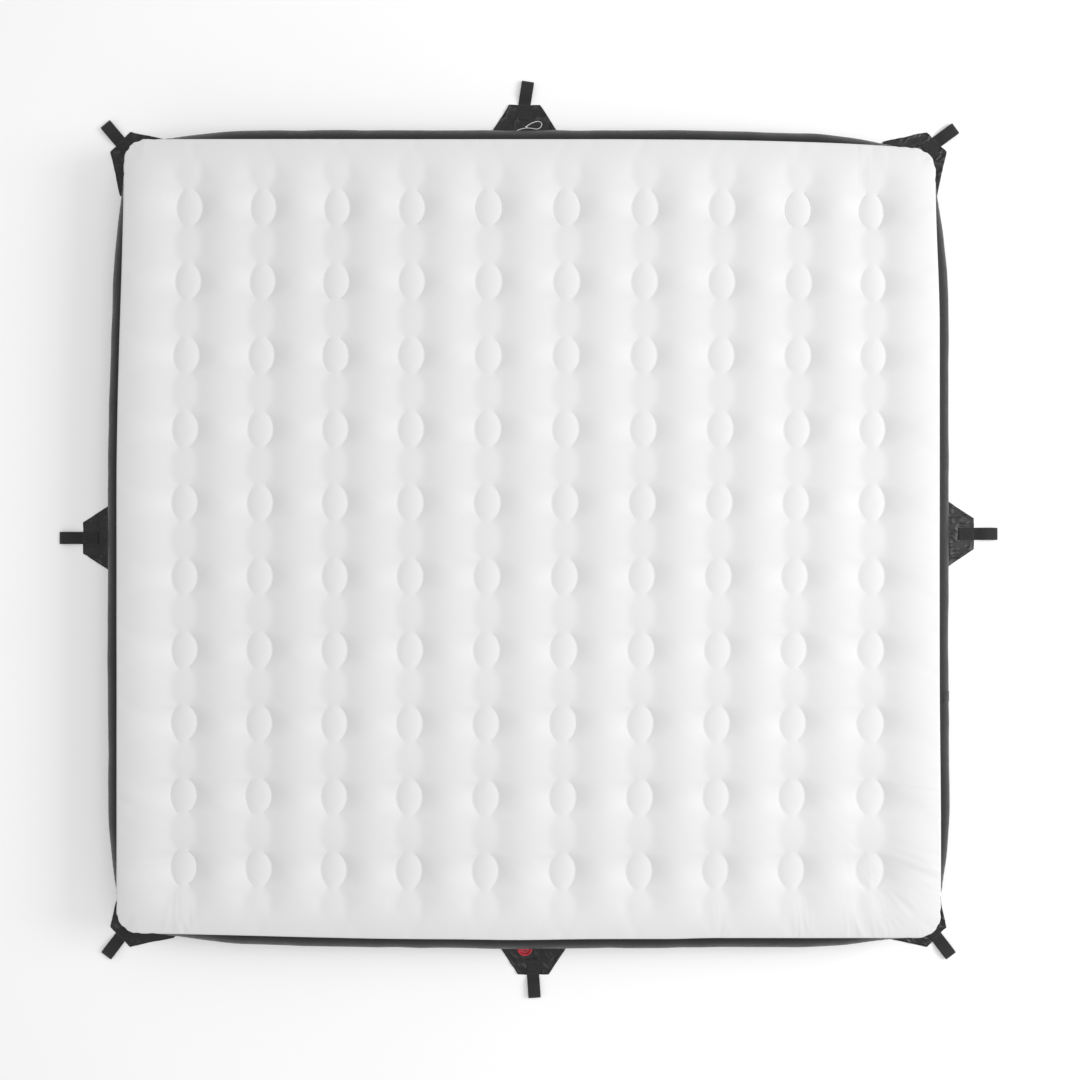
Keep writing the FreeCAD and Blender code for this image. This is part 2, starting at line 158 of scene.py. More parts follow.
def grid_faces(rows, columns, wrap_rows=False, wrap_columns=False, flip=False):
    """Quads of a grid of rows by columns points."""
    r = np.arange(rows if wrap_rows else rows - 1)
    c = np.arange(columns if wrap_columns else columns - 1)
    r, c = np.meshgrid(r, c, indexing="ij")
    a = r * columns + c
    b = ((r + 1) % rows) * columns + c
    d = r * columns + (c + 1) % columns
    e = ((r + 1) % rows) * columns + (c + 1) % columns
    quads = np.stack([a, b, e, d], axis=-1).reshape(-1, 4)
    return quads[:, ::-1] if flip else quads


def tube_faces(rings, around, base=0):
    """Faces of a tube of rings of points, closed at both ends."""
    faces = (grid_faces(rings, around, wrap_columns=True, flip=True) + base).tolist()
    faces.append([base + k for k in reversed(range(around))])
    faces.append([base + (rings - 1) * around + k for k in range(around)])
    return faces


def dress(obj, slot):
    """Give a piece the material of that name."""
    obj.data.materials.clear()
    obj.data.materials.append(MATERIALS[slot])


def thicken(obj, thickness):
    thick = obj.modifiers.new("thickness", "SOLIDIFY")
    thick.thickness = thickness
    thick.offset = 0


def past_corner(x, y):
    """How far points lie past the centre of the nearest corner's arc, each way."""
    return np.abs(x) - (HALF_X - CORNER), np.abs(y) - (HALF_Y - CORNER)


# ---------- materials ----------


class Shader:
    """A material's node tree, with short ways to add what each material needs."""

    def __init__(self, name, **sockets):
        self.material = bpy.data.materials.new(name)
        self.material.use_nodes = True
        self.nodes = self.material.node_tree.nodes
        self.links = self.material.node_tree.links
        self.shader = self.nodes["Principled BSDF"]
        for key, value in sockets.items():
            self.set(key.replace("_", " "), value)

    def set(self, key, value):
        socket = self.shader.inputs[key]
        socket.default_value = (*value, 1.0) if isinstance(value, tuple) else value

    def add(self, kind, **values):
        node = self.nodes.new(kind)
        for key, value in values.items():
            if hasattr(node, key):
                setattr(node, key, value)
            else:
                node.inputs[key.replace("_", " ")].default_value = value
        return node

    def link(self, source, target):
        self.links.new(source, target)

    def place(self, uv=False, scale=(1, 1, 1), turn=0.0):
        where = self.add("ShaderNodeTexCoord")
        mapping = self.add("ShaderNodeMapping")
        mapping.inputs["Scale"].default_value = scale
        mapping.inputs["Rotation"].default_value = (0, 0, turn)
        self.link(where.outputs["UV" if uv else "Object"], mapping.inputs["Vector"])
        return mapping.outputs["Vector"]

    def ramp(self, factor, stops):
        node = self.add("ShaderNodeValToRGB")
        while len(node.color_ramp.elements) < len(stops):
            node.color_ramp.elements.new(0.5)
        for element, (place, colour) in zip(node.color_ramp.elements, stops):
            element.position = place
            element.color = (*colour, 1.0)
        self.link(factor, node.inputs["Fac"])
        return node.outputs["Color"]

    def maths(self, operation, a, b):
        node = self.add("ShaderNodeMath", operation=operation)
        for socket, value in zip(node.inputs, (a, b)):
            if isinstance(value, (int, float)):
                socket.default_value = value
            else:
                self.link(value, socket)
        return node.outputs[0]

    def bump(self, height, strength, distance, before=None):
        node = self.add("ShaderNodeBump")
        node.inputs["Strength"].default_value = strength
        node.inputs["Distance"].default_value = distance
        self.link(height, node.inputs["Height"])
        if before is not None:
            self.link(before, node.inputs["Normal"])
        self.link(node.outputs["Normal"], self.shader.inputs["Normal"])
        return node.outputs["Normal"]

    def noise(self, vector, scale, detail=4.0, rough=0.55):
        node = self.add("ShaderNodeTexNoise")
        node.inputs["Scale"].default_value = scale
        node.inputs["Detail"].default_value = detail
        node.inputs["Roughness"].default_value = rough
        self.link(vector, node.inputs["Vector"])
        return node.outputs["Fac"]

    def bands(self, vector, scale, direction):
        node = self.add("ShaderNodeTexWave", wave_type="BANDS", bands_direction=direction)
        node.inputs["Scale"].default_value = scale
        node.inputs["Distortion"].default_value = 0.0
        self.link(vector, node.inputs["Vector"])
        return node.outputs["Fac"]

    def weave(self, vector, scale):
        """Two crossed sets of threads, one over the other."""
        return self.maths("MAXIMUM", self.bands(vector, scale, "X"), self.bands(vector, scale, "Y"))

    def colours(self, factor, stops):
        self.link(self.ramp(factor, stops), self.shader.inputs["Base Color"])

    def roughness(self, factor, low, high):
        grey = self.ramp(factor, [(0.3, (low,) * 3), (0.7, (high,) * 3)])
        self.link(grey, self.shader.inputs["Roughness"])


def clouded(name, colour, rough, weave=None, dents=None, **sockets):
    """A material of two soft colours and uneven roughness, with a weave and dents if it has them."""
    m = Shader(name, **sockets)
    here = m.place()
    scale, detail, dark, light = colour
    m.colours(m.noise(here, scale, detail), [(0.3, dark), (0.7, light)])
    scale, detail, low, high = rough
    m.roughness(m.noise(here, scale, detail), low, high)
    fine = None
    if weave:
        scale, strength, depth = weave
        fine = m.bump(m.weave(here, scale), strength, depth)
    if dents:
        *pattern, strength, depth = dents
        m.bump(m.noise(here, *pattern), strength, depth, fine)
    return m.material


def top_fabric():
    colour = (2.2, 3, (0.765, 0.765, 0.768), (0.785, 0.785, 0.787))
    rough, weave, dents = (40, 5, 0.55, 0.68), (240, 0.10, 0.0002), (26, 6, 0.6, 0.10, 0.0012)
    sockets = {"Roughness": 0.6, "Sheen_Weight": 0.15, "Specular_IOR_Level": 0.35}
    return clouded("top_fabric", colour, rough, weave, dents, **sockets)


def wall_fabric():
    colour = (9, 4, (0.010, 0.010, 0.011), (0.015, 0.015, 0.016))
    rough, weave, dents = (60, 5, 0.38, 0.5), (260, 0.15, 0.0002), (18, 5, 0.6, 0.25, 0.002)
    sockets = {"Roughness": 0.42, "Sheen_Weight": 0.06, "Specular_IOR_Level": 0.26}
    return clouded("wall_fabric", colour, rough, weave, dents, **sockets)


def base_fabric():
    colour = (7, 5, (0.020, 0.020, 0.022), (0.032, 0.032, 0.034))
    rough, weave, dents = (35, 5, 0.5, 0.7), (220, 0.2, 0.0003), (90, 3, 0.2, 0.0006)
    return clouded("base_fabric", colour, rough, weave, dents, Roughness=0.6, Specular_IOR_Level=0.4)


def tab_fabric():
    colour = (30, 5, (0.006, 0.006, 0.0065), (0.013, 0.013, 0.0135))
    rough, weave, dents = (45, 6, 0.26, 0.46), (300, 0.15, 0.0002), (55, 8, 0.7, 0.45, 0.003)
    sockets = {"Roughness": 0.36, "Specular_IOR_Level": 0.42, "Coat_Weight": 0.10, "Coat_Roughness": 0.25}
    return clouded("tab_fabric", colour, rough, weave, dents, **sockets)


def webbing_fabric():
    m = Shader("webbing", Roughness=0.7, Sheen_Weight=0.3, Specular_IOR_Level=0.3)
    ribs = m.bands(m.place(uv=True), 130, "X")
    cords = m.bands(m.place(uv=True, turn=0.5), 190, "Y")
    both = m.maths("MULTIPLY", ribs, cords)
    m.colours(both, [(0.2, (0.012, 0.012, 0.013)), (0.8, (0.034, 0.034, 0.036))])
    m.bump(both, 0.6, 0.0006)
    return m.material


def thread_material():
    m = Shader("thread", Roughness=0.55, Sheen_Weight=0.2)
    here = m.place()
    m.colours(m.bands(here, 700, "DIAGONAL"), [(0.2, (0.02, 0.02, 0.021)), (0.8, (0.06, 0.06, 0.062))])
    m.bump(m.bands(here, 700, "DIAGONAL"), 0.4, 0.0002)
    return m.material


def red_plastic():
    colour = (120, 3, (0.56, 0.018, 0.045), (0.64, 0.028, 0.06))
    sockets = {"Roughness": 0.3, "Specular_IOR_Level": 0.5, "Subsurface_Weight": 0.05}
    return clouded("red_plastic", colour, (260, 5, 0.24, 0.36), dents=(500, 3, 0.15, 0.0002), **sockets)


def black_rubber():
    colour = (150, 3, (0.012, 0.012, 0.013), (0.022, 0.022, 0.023))
    return clouded("black_rubber", colour, (300, 4, 0.45, 0.65), dents=(700, 3, 0.2, 0.0002), Roughness=0.55)


def silicone():
    colour = (200, 3, (0.52, 0.53, 0.55), (0.60, 0.61, 0.62))
    return clouded("silicone", colour, (200, 4, 0.3, 0.5), Roughness=0.4, Subsurface_Weight=0.2)


def beam_film():
    colour = (25, 4, (0.66, 0.67, 0.69), (0.78, 0.79, 0.8))
    sockets = {"Roughness": 0.35, "Transmission_Weight": 0.3}
    return clouded("beam_film", colour, (60, 4, 0.28, 0.45), dents=(80, 3, 0.3, 0.0008), **sockets)


def cord_material():
    m = Shader("white_cord", Roughness=0.6, Sheen_Weight=0.3)
    here = m.place()
    strands = [m.bands(m.place(turn=turn), 420, "X") for turn in (0.8, -0.8)]
    braid = m.maths("MAXIMUM", *strands)
    m.colours(braid, [(0.1, (0.62, 0.62, 0.61)), (0.7, (0.84, 0.84, 0.83))])
    m.bump(braid, 0.5, 0.0003)
    m.roughness(m.noise(here, 300, 3), 0.5, 0.7)
    return m.material


MATERIALS = {
    "top_fabric": top_fabric(),
    "wall_fabric": wall_fabric(),
    "base_fabric": base_fabric(),
    "seam_tape": black_rubber(),
    "tab_fabric": tab_fabric(),
    "webbing": webbing_fabric(),
    "thread": thread_material(),
    "valve_red": red_plastic(),
    "valve_black": black_rubber(),
    "flap_silicone": silicone(),
    "beam_film": beam_film(),
    "white_cord": cord_material(),
}


# ---------- camera, light and floor ----------

FLOOR_HALF = 14.0
FLOOR_Z = -0.0006  # a little under the pad, so that the two don't share a plane


def camera_and_light():
    scene = bpy.context.scene
    data = bpy.data.cameras.new("camera")
    data.sensor_width = 36
    data.lens = 40.8
    data.clip_end = 50
    camera = add_object("camera", data)
    camera.location = (0.028, -0.001, 3.0)
    scene.camera = camera

    def area(name, place, target, size, power):
        light = bpy.data.lights.new(name, "AREA")
        light.shape = "RECTANGLE"
        light.size, light.size_y = size
        light.energy = power
        lamp = add_object(name, light)
        lamp.location = place
        direction = Vector(target) - Vector(place)
        lamp.rotation_euler = direction.to_track_quat("-Z", "Y").to_euler()

    area("key", (4.7, 0.4, 3.4), (0, 0, 0), (2.6, 2.6), 146)
    area("overhead", (0.6, 0.1, 4.6), (0, 0, 0), (3.0, 3.0), 45)

    world = bpy.data.worlds.new("studio")
    world.use_nodes = True
    background = world.node_tree.nodes["Background"]
    background.inputs["Color"].default_value = (1, 1, 1, 1)
    background.inputs["Strength"].default_value = 0.60
    scene.world = world
    scene.view_settings.view_transform = "Standard"

    signs = [(-1, -1), (1, -1), (1, 1), (-1, 1)]
    corners = [(FLOOR_HALF * i, FLOOR_HALF * j, FLOOR_Z) for i, j in signs]
    floor = new_object("floor", corners, [(0, 1, 2, 3)])
    m = Shader("floor", Roughness=0.9, Specular_IOR_Level=0.1)
    m.colours(m.noise(m.place(), 1.5, 2), [(0.3, (0.96, 0.96, 0.96)), (0.7, (0.97, 0.97, 0.97))])
    m.set("Emission Color", (1.0, 1.0, 1.0))
    m.set("Emission Strength", 0.08)
    floor.data.materials.append(m.material)


camera_and_light()


# ---------- the pad's outline ----------

NIP = 0.0036  # depth of the seam's deepest nips
NIP_PITCH = 0.021  # from nip to nip along the seam
NIP_ARM = 0.12  # from a corner's middle to its seam, to turn an angle into a length


def nips(x, y):
    """How far the gathered seam pulls the edge in near the corners."""
    a, b = past_corner(x, y)
    near = smooth((np.minimum(a, b) + 0.08) / 0.07)
    run = np.arctan2(np.clip(b + 0.1, 0, None), np.clip(a + 0.1, 1e-6, None)) * NIP_ARM
    which = 1.7 * np.sign(x) + np.sign(y)
    gather = np.sin(run * 2 * np.pi / NIP_PITCH + 2.2 * noise(run, which, 0.03, 61) + which)
    uneven = 0.65 + 0.35 * noise(run, which, 0.02, 62)
    inside = np.clip(edge_distance(x, y), 0, None)
    return NIP * uneven * np.clip(gather, 0, None) * near * np.exp(-inside / 0.014)


def settle(x, y):
    """How the soft outline strays from its pattern. The back edge runs forward on the right, both
    side edges inward at the back, and the front edge inward away from the valve, most on the
    left. The columns of welds lean, more on the right."""
    right = np.clip(x / HALF_X, 0, 1) ** 2
    left = np.clip(-x / HALF_X, 0, 1) ** 2
    back = np.clip(y / HALF_Y, 0, 1) ** 2
    front = np.clip(-y / HALF_Y, 0, 1) ** 2
    dx = left * 0.0172 * smooth((y - 0.12) / 0.8) - right * 0.009 * smooth((y - 0.5) / 0.35)
    dx = dx + right * 0.003 * smooth((-y - 0.3) / 0.4)
    fade = smooth((HALF_X - np.abs(x)) / 0.31)
    lean = fade * (0.0047 + 0.0187 * np.clip((x + 0.45) / 1.08, 0, 1) ** 1.3)
    dx = dx + lean / 2 * np.clip(y / 0.78, -1, 1) - 0.008 * fade * np.exp(-(((x + 0.25) / 0.38) ** 2))
    dy = -back * 0.0195 * np.clip(x / 0.9, 0, 1.03) ** 3.2
    drawn = 0.0023 + 0.0135 * smooth((-x - 0.2) / 0.8) + 0.0024 * smooth((x - 0.33) / 0.12)
    dy = dy + front * drawn * (1 - np.exp(-(((x - VALVE[0]) / 0.12) ** 2)))
    nip = nips(x, y)
    return x + dx - 0.7 * nip * np.sign(x), y + dy - 0.7 * nip * np.sign(y)


def rounded(x, y):
    """Move points of the full rectangle so that its four corners are round."""
    a, b = (past / CORNER for past in past_corner(x, y))
    inside = (a > 0) & (b > 0)
    big, small = np.maximum(a, b), np.minimum(a, b)
    turn = np.pi / 4 * small / np.maximum(big, 1e-9)
    turn = np.where(a > b, turn, np.pi / 2 - turn)
    nx = HALF_X - CORNER + CORNER * big * np.cos(turn)
    ny = HALF_Y - CORNER + CORNER * big * np.sin(turn)
    return np.where(inside, np.sign(x) * nx, x), np.where(inside, np.sign(y) * ny, y)


def edge_distance(x, y):
    """How far a point of the unsettled outline lies inside the seam."""
    a, b = past_corner(x, y)
    round_part = CORNER - np.hypot(a, b)
    straight = np.minimum(HALF_X - np.abs(x), HALF_Y - np.abs(y))
    return np.where((a > 0) & (b > 0), round_part, straight)


# ---------- the quilted skin ----------

PRESSURE = 5.6  # over the skin's tension, per metre
WELD_DROP = 0.0125  # of the welds under the pillows' tops
FOLD_STIFFNESS = 34.0  # of the soft fold that runs on from weld to weld
FOLD_WIDTH = 0.015
FOLD_REACH = 0.52  # how far it runs past a weld's middle, in pitches
INNER_LOAD = 1.25  # how much more the cloth between a pair of welds swells
WELD_STRAYS = np.random.default_rng(7).normal(0, 0.0008, (WELDS, WELDS))
RIM_DROP = 0.0095  # of the skin's edge under the pillows' tops
RIM_ROLL = 0.006  # breadth of the round edge
WELD_RISE = 0.0055  # of a weld's ends over its middle
EDGE_LINES = 16  # of the grid, between the last cell and the rim
SKIN_BASE = 0.005
TOP_SKIN = TOP_Z - SKIN_BASE  # the level from which the skin's height is measured
FILM = 0.0006  # thickness of the beams


def lines_across(first, pitch, half, weld=None):
    """Places of the grid's lines along one axis, crowded near the welds and the rim."""
    if weld is None:
        cell = np.linspace(-pitch / 2, pitch / 2, 45)
    else:
        inner = np.linspace(-weld, weld, 21)
        share = np.linspace(0, 1, 15)[1:]
        outer = weld + (pitch / 2 - weld) * (0.6 * share + 0.4 * share**2)
        cell = np.concatenate([-outer[::-1], inner, outer])
    cells = [first + k * pitch + cell[:-1] for k in range(WELDS)]
    lines = np.concatenate(cells + [[-first + pitch / 2]])
    share = np.linspace(0, 1, EDGE_LINES + 1)[:-1]
    margin = half - lines[-1]
    edge = half - margin * (0.45 * share + 0.55 * share**2)
    return np.concatenate([-edge, lines, edge[::-1]])


def bow(v):
    """How far a weld line stands inwards of its middle, at a distance from the middle."""
    radius = (BEAM_LONG**2 / 4 + BEAM_SAG**2) / (2 * BEAM_SAG)
    v = np.minimum(np.abs(v), BEAM_LONG / 2)
    return radius - np.sqrt(radius**2 - v**2)


def quilt_grid():
    """The grid's points in plan, bent so that its lines follow the welds, which points are welded
    and how high, and how far each lies from its oval's middle, each way."""
    weld = BEAM_WIDE / 2
    lines_x = lines_across(FIRST_X, PITCH_X, HALF_X, weld)
    lines_y = lines_across(FIRST_Y, PITCH_Y, HALF_Y)
    x, y = np.meshgrid(lines_x, lines_y)
    column = np.clip(np.round((x - FIRST_X) / PITCH_X), 0, WELDS - 1)
    row = np.clip(np.round((y - FIRST_Y) / PITCH_Y), 0, WELDS - 1)
    u, v = x - FIRST_X - column * PITCH_X, y - FIRST_Y - row * PITCH_Y
    past = np.clip(np.abs(v) - BEAM_LONG / 2, 0, None)
    pull = bow(v) * (1 - smooth(past / 0.03))
    share = np.where(np.abs(u) < weld, np.abs(u) / weld, 1 - smooth((np.abs(u) - weld) / 0.045))
    welded = (np.abs(np.abs(u) - weld) < 0.0001) & (np.abs(v) < BEAM_LONG / 2)
    weld_height = weld_line(row.astype(int), column.astype(int), v)
    return x - np.sign(u) * pull * share, y, welded, weld_height, np.abs(u), np.abs(v)


def weld_line(row, column, v):
    """Height of a weld at a distance from its middle: its ends rise, and no two are alike."""
    tip = np.clip(np.abs(v) / (BEAM_LONG / 2), 0, 1)
    return WELD_STRAYS[row, column] - WELD_DROP + WELD_RISE * tip**2.5


def relax(x, y, welded, weld_height, u, v, rim, rounds=420, over=1.9):
    """Heights of a stretched skin over pressure, held at its welds and its rim."""
    west, east = np.diff(x, axis=1)[1:-1, :-1], np.diff(x, axis=1)[1:-1, 1:]
    south, north = np.diff(y, axis=0)[:-1, 1:-1], np.diff(y, axis=0)[1:, 1:-1]
    fold = FOLD_STIFFNESS * np.exp(-(((u - BEAM_WIDE / 2) / FOLD_WIDTH) ** 2))
    fold = fold / (FOLD_WIDTH * math.sqrt(math.pi)) * (v < PITCH_Y * FOLD_REACH)
    fold = fold[1:-1, 1:-1]
    inside = (u < BEAM_WIDE / 2) & (v < BEAM_LONG / 2)
    load = (PRESSURE * np.where(inside, INNER_LOAD, 1.0))[1:-1, 1:-1]
    a, b = 2 / (west * (west + east)), 2 / (east * (west + east))
    c, d = 2 / (south * (south + north)), 2 / (north * (south + north))
    total = a + b + c + d + fold
    fixed = load - fold * WELD_DROP
    height = np.where(welded, weld_height, 0.0)
    height[0, :] = height[-1, :] = height[:, 0] = height[:, -1] = rim
    rows, columns = height.shape
    odd = (np.add.outer(np.arange(rows), np.arange(columns)) % 2).astype(bool)[1:-1, 1:-1]
    free = ~welded[1:-1, 1:-1]
    inner = height[1:-1, 1:-1]
    for _ in range(rounds):
        for turn in (odd, ~odd):
            pull = a * height[1:-1, :-2] + b * height[1:-1, 2:] + c * height[:-2, 1:-1]
            pull = (pull + d * height[2:, 1:-1] + fixed) / total
            inner += np.where(free & turn, over * (pull - inner), 0)
    return height


def wrinkle(x, y, place, heading, length, pitch, count, depth):
    """A few uneven folds side by side that start at a place on the edge and run inwards."""
    c, s = math.cos(heading), math.sin(heading)
    along = (x - place[0]) * c + (y - place[1]) * s
    across = -(x - place[0]) * s + (y - place[1]) * c
    across = across + 0.35 * pitch * noise(along, across, 0.05, 5)
    half = pitch * count / 2
    envelope = np.exp(-((across / half) ** 4)) * np.exp(-np.clip(along, 0, None) / length)
    seed = int(1000 * abs(place[0] * 3 + place[1]))
    ridges = creases(across, along * 0.1, pitch, seed, 2.0) - 0.45
    return depth * envelope * ridges * smooth((along + 0.03) / 0.03)


def edge_wrinkles(x, y):
    """The folds that the seam gathers in: place, heading, length, pitch, count and depth."""
    total = np.zeros(x.shape)
    right, left, front, back = HALF_X, -HALF_X, -HALF_Y, HALF_Y
    into_left, into_back = math.pi, -math.pi / 2
    into_right, into_front = 0.0, math.pi / 2
    places = [
        ((left, 0.80), into_right, 0.06, 0.012, 4, 0.0016),
        ((left, -0.61), into_right, 0.06, 0.014, 4, 0.0018),
        ((left, -0.79), into_right + 0.1, 0.07, 0.012, 6, 0.0022),
        ((right, 0.79), into_left, 0.06, 0.012, 5, 0.0018),
        ((right, 0.61), into_left, 0.05, 0.012, 3, 0.0014),
        ((right, -0.60), into_left - 0.12, 0.08, 0.014, 5, 0.0022),
        ((right, -0.78), into_left - 0.35, 0.09, 0.013, 7, 0.0026),
        ((-0.81, front), into_front, 0.06, 0.013, 6, 0.0022),
        ((-0.30, front), into_front, 0.04, 0.012, 3, 0.0012),
        ((0.45, front), into_front, 0.05, 0.013, 5, 0.0014),
        ((0.66, front), into_front + 0.1, 0.06, 0.012, 6, 0.0018),
        ((0.79, front), into_front + 0.2, 0.10, 0.011, 10, 0.0030),
        ((0.88, front + 0.07), math.pi * 0.74, 0.09, 0.012, 7, 0.0028),
        ((0.80, back), into_back, 0.06, 0.013, 6, 0.0016),
        ((-0.80, back), into_back, 0.05, 0.013, 5, 0.0012),
    ]
    for place, heading, length, pitch, count, depth in places:
        total += wrinkle(x, y, place, heading, length, pitch, count, depth)
    return total


def corner_gathers(x, y, inside, depth, count):
    """Small folds that run round the corners."""
    a, b = past_corner(x, y)
    turn = np.arctan2(np.clip(b, 0, None), np.clip(a, 1e-6, None))
    near = smooth((a + b + 0.03) / 0.05) * np.exp(-inside / 0.03)
    return depth * near * np.sin(turn * count)


def top_cloth(quilt, skin):
    gx, gy = quilt[0], quilt[1]
    x, y = rounded(gx, gy)
    inside = np.clip(edge_distance(x, y), 0, None)
    roll = np.clip(inside / RIM_ROLL, 0, 1)
    roll = np.sqrt(1 - (1 - roll) ** 2)
    height = TOP_SKIN + skin
    folds = edge_wrinkles(x, y) * (1 + 0.5 * noise(x, y, 0.05, 3))
    folds = folds + corner_gathers(x, y, inside, 0.0012, 26)
    height = height + folds * smooth(inside / 0.012)
    height = height + 0.0012 * noise(x, y, 0.30, 11) + 0.0003 * noise(x, y, 0.09, 12)
    height = TOP_SEAM_Z + (height - TOP_SEAM_Z) * roll
    x, y = settle(x, y)
    points = stacked(x, y, height)
    obj = new_object("top_cloth", points, grid_faces(*gx.shape, flip=True))
    dress(obj, "top_fabric")
    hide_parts("top_sheet")
    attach(obj, "pad")


# ---------- side wall ----------


def outline(count):
    """Evenly spaced points round the seam: places, outward directions, swell and corner share."""
    sx, sy = HALF_X - CORNER, HALF_Y - CORNER
    arc = CORNER * math.pi / 2
    sides = [(2 * sy, 0.0), (2 * sx, math.pi / 2), (2 * sy, math.pi), (2 * sx, -math.pi / 2)]
    total = 4 * arc + 4 * (sx + sy)
    places, outs, swells, corners = [], [], [], []
    for s in np.arange(count) * total / count:
        for long, heading in sides:
            out = np.array([math.cos(heading), math.sin(heading)])
            along = np.array([-out[1], out[0]])
            if s <= long:
                reach = HALF_X if abs(out[0]) > 0.5 else HALF_Y
                place = out * reach + along * (s - long / 2)
                far = min(s, long - s)
                share = math.sin(min(far / BULGE_RUN, 1) * math.pi / 2)
                swell = CORNER_BULGE + (BULGE - CORNER_BULGE) * share
                corner = math.exp(-far / 0.05)
                break
            s -= long
            if s <= arc:
                turn = heading + s / CORNER
                sign = out + along
                centre = np.array([sign[0] * sx, sign[1] * sy])
                out = np.array([math.cos(turn), math.sin(turn)])
                place = centre + out * CORNER
                swell = CORNER_BULGE
                corner = 1.0
                break
            s -= arc
        places.append(place)
        outs.append(out)
        swells.append(swell)
        corners.append(corner)
    return np.array(places), np.array(outs), np.array(swells), np.array(corners)


VALVE_HOLE = 0.018  # radius of the opening in the wall's cloth
WALL_LENGTH = 7.4  # round the wall, for the size of its ripples


def wall_cloth():
    around, up = 2200, 30
    places, outs, swells, corners = outline(around)
    s = np.arange(around)[:, None] * (2 * np.pi / around)
    t = np.linspace(0, 1, up)[None, :]
    middle = (TOP_SEAM_Z + BASE_SEAM_Z) / 2
    half = (TOP_SEAM_Z - BASE_SEAM_Z) / 2
    swell = swells[:, None]
    radius = (half**2 + swell**2) / (2 * swell)
    spread = np.arcsin(np.clip(half / radius, -1, 1))
    angle = (t * 2 - 1) * spread
    out = radius * np.cos(angle) - (radius - swell)
    rise = middle + radius * np.sin(angle)
    belly = np.sin(t * np.pi)
    length = s / (2 * np.pi) * WALL_LENGTH
    ripple = 0.0009 * noise(length, rise, 0.055, 21) + 0.0012 * noise(length, rise * 0.4, 0.19, 22)
    gathers = corners[:, None] * 0.0022 * np.sin(length * 2 * np.pi / 0.017) * (1 - 0.5 * belly)
    seam = 0.0011 * (creases(length, rise, 0.03, 23, 5) - 0.4) * np.exp(-np.minimum(t, 1 - t) * 9)
    px, py = places[:, 0], places[:, 1]
    by_valve = np.exp(-((np.hypot(px - VALVE[0], py - VALVE[1]) / 0.07) ** 4))
    by_lap = np.exp(-((np.hypot(px - LAP[0], py - LAP[1]) / 0.06) ** 4))
    calm = (1 - np.clip(by_valve + by_lap, 0, 1))[:, None]
    out = out + calm * ((ripple + gathers * np.sqrt(belly)) * np.sqrt(belly) + seam * belly)
    x0, y0 = settle(px, py)
    x = x0[:, None] + outs[:, 0:1] * out
    y = y0[:, None] + outs[:, 1:2] * out
    points = stacked(x, y, rise)
    faces = grid_faces(around, up, wrap_rows=True)
    hole = np.linalg.norm(points[faces].mean(axis=1) - np.array(VALVE), axis=1) < VALVE_HOLE
    obj = new_object("wall_cloth", points, faces[~hole])
    dress(obj, "wall_fabric")
    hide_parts("side_wall")
    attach(obj, "pad")


BASE_ROLL = 0.035  # how far in from the seam the bottom meets the floor
BASE_LIFT = 0.0003  # of the bottom over the floor


def base_cloth(quilt, skin):
    every = 2
    gx, gy = quilt[0][::every, ::every], quilt[1][::every, ::every]
    dents = np.clip(-skin[::every, ::every] - 0.002, 0, None)
    x, y = rounded(gx, gy)
    inside = np.clip(edge_distance(x, y), 0, None)
    roll = 1 - np.clip(inside / BASE_ROLL, 0, 1)
    height = BASE_SEAM_Z * roll**2.2 + 0.5 * dents * smooth((inside - 0.02) / 0.06) + BASE_LIFT
    x, y = settle(x, y)
    points = stacked(x, y, height)
    obj = new_object("base_cloth", points, grid_faces(*gx.shape))
    dress(obj, "base_fabric")
    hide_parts("bottom_sheet")
    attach(obj, "pad")


FILM_FOOT = 0.003  # height of the films' lower edge


def beam_films(row):
    """The bowed upright films of one row, from the bottom skin to the top one's welds."""
    node = "beam_row_%02d" % (row + 1)
    across, upright = 15, 5
    v = np.linspace(-BEAM_LONG / 2, BEAM_LONG / 2, across)[:, None]
    t = np.linspace(0, 1, upright)[None, :]
    points, faces = [], []
    for column in range(WELDS):
        top = TOP_SKIN + weld_line(row, column, v) - FILM
        for side in (-1, 1):
            slack = 0.0015 * np.sin(np.pi * t) * (1 - (v / BEAM_LONG * 2) ** 2)
            x = FIRST_X + column * PITCH_X + side * (BEAM_WIDE / 2 - bow(v) - slack)
            y = FIRST_Y + row * PITCH_Y + v + 0 * t
            z = FILM_FOOT + (top - FILM_FOOT) * t
            x, y = settle(x, y)
            faces.append(grid_faces(across, upright) + len(points) * across * upright)
            points.append(stacked(x, y, z))
    obj = new_object(node + "_films", np.concatenate(points), np.concatenate(faces))
    thicken(obj, FILM)
    dress(obj, "beam_film")
    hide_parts(node)
    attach(obj, "pad")


TAPE = 0.0008  # thickness of the seam tapes
TAPE_IN = 0.0016  # of a tape behind its seam


def seam_tape(node):
    """The welded tape inside a seam, all the way round."""
    low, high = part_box(node)
    around, up = 700, 6
    places, outs, _, _ = outline(around)
    x, y = settle(places[:, 0], places[:, 1])
    t = np.linspace(0, 1, up)[None, :]
    inward = TAPE_IN + 0.0005 * np.sin(np.pi * t)
    px = x[:, None] - outs[:, 0:1] * inward
    py = y[:, None] - outs[:, 1:2] * inward
    pz = low.z + 0.0004 + (high.z - low.z - 0.0008) * t + 0 * px
    points = stacked(px, py, pz)
    obj = new_object(node + "_strip", points, grid_faces(around, up, wrap_rows=True))
    thicken(obj, TAPE)
    dress(obj, "seam_tape")
    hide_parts(node)
    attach(obj, "pad")


SIM_STEP = 4  # lines of the quilt's grid to one of the simulated cloth
SIM_FRAMES = 18
SIM_CAP = 0.003  # the furthest that the simulation may move a point
SIM_FADE = 0.008  # from a weld, over which its effect sets in


